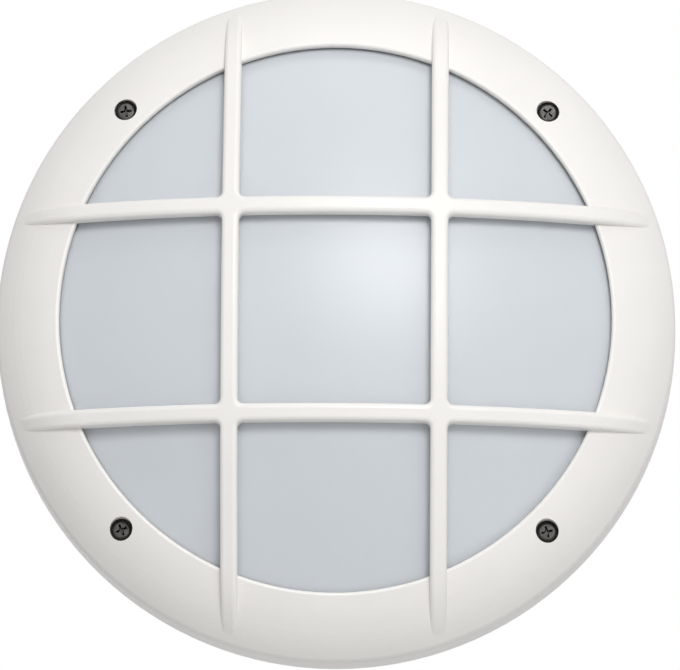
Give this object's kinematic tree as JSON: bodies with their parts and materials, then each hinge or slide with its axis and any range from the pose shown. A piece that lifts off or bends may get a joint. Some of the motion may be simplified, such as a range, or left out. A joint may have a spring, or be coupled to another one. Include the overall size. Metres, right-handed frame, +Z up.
{
  "type": "outdoor wall light",
  "caption": "Round surface-mounted outdoor wall light: white cast cover with a square guard grid over a domed opal diffuser, screwed to a sealed housing that holds screw-in lamps.",
  "frame": {"origin": "middle of the housing's back, on the wall", "axes": "+Y into the wall, -Y the way the light faces, +X to the right seen from the front, +Z up"},
  "size_m": [0.305, 0.0949, 0.305],
  "materials": {
    "cover_paint": "satin powder coat, warm white",
    "housing_paint": "satin powder coat, warm white",
    "opal": "satin opal",
    "reflector_paint": "gloss white",
    "stainless": "dark stainless",
    "zinc": "bright zinc plate",
    "rubber": "matte",
    "plug_grey": "matte",
    "porcelain": "glazed",
    "brass": "bright",
    "nickel": "nickel plate",
    "lamp_opal": "frosted opal",
    "lamp_white": "gloss",
    "black_glass": "gloss black",
    "terminal_white": "matte",
    "wire_brown": "satin insulation",
    "wire_blue": "satin insulation",
    "wire_earth": "satin insulation, green and yellow"
  },
  "bodies": {
    "base": {"back_housing": "housing_paint", "wall_seal": "rubber", "cover_seal": "rubber", "cable_grommet": "rubber", "entry_plug": "plug_grey", "entry_plug_seal": "rubber", "reflector_tray": "reflector_paint", "tray_screws": "zinc", "lampholder_bracket_1": "zinc", "lampholder_bracket_2": "zinc", "bracket_screws": "zinc", "lampholder_1": "porcelain", "lampholder_2": "porcelain", "holder_shell_1": "brass", "holder_shell_2": "brass", "holder_contact_1": "brass", "holder_contact_2": "brass", "holder_screws": "zinc", "terminal_block": "terminal_white", "terminal_tubes": "brass", "terminal_screws": "zinc", "terminal_fixing_screws": "zinc", "live_wires": "wire_brown", "neutral_wires": "wire_blue", "earth_wire": "wire_earth", "earth_tag": "brass", "earth_screw": "zinc"},
    "cover": {"front_cover": "cover_paint", "diffuser": "opal", "diffuser_seal": "rubber", "diffuser_clips": "zinc", "clip_screws": "zinc"},
    "screw_1_seal": {"screw_seal_1": "rubber"},
    "screw_1": {"cover_screw_1": "stainless"},
    "screw_2_seal": {"screw_seal_2": "rubber"},
    "screw_2": {"cover_screw_2": "stainless"},
    "screw_3_seal": {"screw_seal_3": "rubber"},
    "screw_3": {"cover_screw_3": "stainless"},
    "screw_4_seal": {"screw_seal_4": "rubber"},
    "screw_4": {"cover_screw_4": "stainless"},
    "lamp_1_tip": {"lamp_contact_1": "brass"},
    "lamp_1": {"lamp_globe_1": "lamp_opal", "lamp_body_1": "lamp_white", "lamp_cap_1": "nickel", "lamp_insulator_1": "black_glass"},
    "lamp_2_tip": {"lamp_contact_2": "brass"},
    "lamp_2": {"lamp_globe_2": "lamp_opal", "lamp_body_2": "lamp_white", "lamp_cap_2": "nickel", "lamp_insulator_2": "black_glass"}
  },
  "joints": [
    {"name": "cover_lift", "type": "slide", "parent": "base", "child": "cover", "axis": [0, -1, 0], "range_m": [0, 0.12]},
    {"name": "screw_1_rise", "type": "slide", "parent": "cover", "child": "screw_1_seal", "axis": [0, -1, 0], "range_m": [0, 0.0104]},
    {"name": "screw_1_turn", "type": "hinge", "parent": "screw_1_seal", "child": "screw_1", "pos_m": [0.0944, -0.0518, 0.0944], "axis": [0, -1, 0], "range_deg": [0, 4682]},
    {"name": "screw_2_rise", "type": "slide", "parent": "cover", "child": "screw_2_seal", "axis": [0, -1, 0], "range_m": [0, 0.0104]},
    {"name": "screw_2_turn", "type": "hinge", "parent": "screw_2_seal", "child": "screw_2", "pos_m": [-0.0944, -0.0518, 0.0944], "axis": [0, -1, 0], "range_deg": [0, 4682]},
    {"name": "screw_3_rise", "type": "slide", "parent": "cover", "child": "screw_3_seal", "axis": [0, -1, 0], "range_m": [0, 0.0104]},
    {"name": "screw_3_turn", "type": "hinge", "parent": "screw_3_seal", "child": "screw_3", "pos_m": [-0.0944, -0.0518, -0.0944], "axis": [0, -1, 0], "range_deg": [0, 4682]},
    {"name": "screw_4_rise", "type": "slide", "parent": "cover", "child": "screw_4_seal", "axis": [0, -1, 0], "range_m": [0, 0.0104]},
    {"name": "screw_4_turn", "type": "hinge", "parent": "screw_4_seal", "child": "screw_4", "pos_m": [0.0944, -0.0518, -0.0944], "axis": [0, -1, 0], "range_deg": [0, 4682]},
    {"name": "lamp_1_rise", "type": "slide", "parent": "base", "child": "lamp_1_tip", "axis": [1, 0, 0], "range_m": [0, 0.0254]},
    {"name": "lamp_1_turn", "type": "hinge", "parent": "lamp_1_tip", "child": "lamp_1", "pos_m": [0, -0.042, 0.036], "axis": [1, 0, 0], "range_deg": [0, 2522]},
    {"name": "lamp_2_rise", "type": "slide", "parent": "base", "child": "lamp_2_tip", "axis": [-1, 0, 0], "range_m": [0, 0.0254]},
    {"name": "lamp_2_turn", "type": "hinge", "parent": "lamp_2_tip", "child": "lamp_2", "pos_m": [0, -0.042, -0.036], "axis": [-1, 0, 0], "range_deg": [0, 2522]}
  ],
  "couplings": [
    {"joint": "screw_1_turn", "follows": "screw_1_rise", "rad_per_m": 7854},
    {"joint": "screw_2_turn", "follows": "screw_2_rise", "rad_per_m": 7854},
    {"joint": "screw_3_turn", "follows": "screw_3_rise", "rad_per_m": 7854},
    {"joint": "screw_4_turn", "follows": "screw_4_rise", "rad_per_m": 7854},
    {"joint": "lamp_1_turn", "follows": "lamp_1_rise", "rad_per_m": 1731.6},
    {"joint": "lamp_2_turn", "follows": "lamp_2_rise", "rad_per_m": 1731.6}
  ]
}
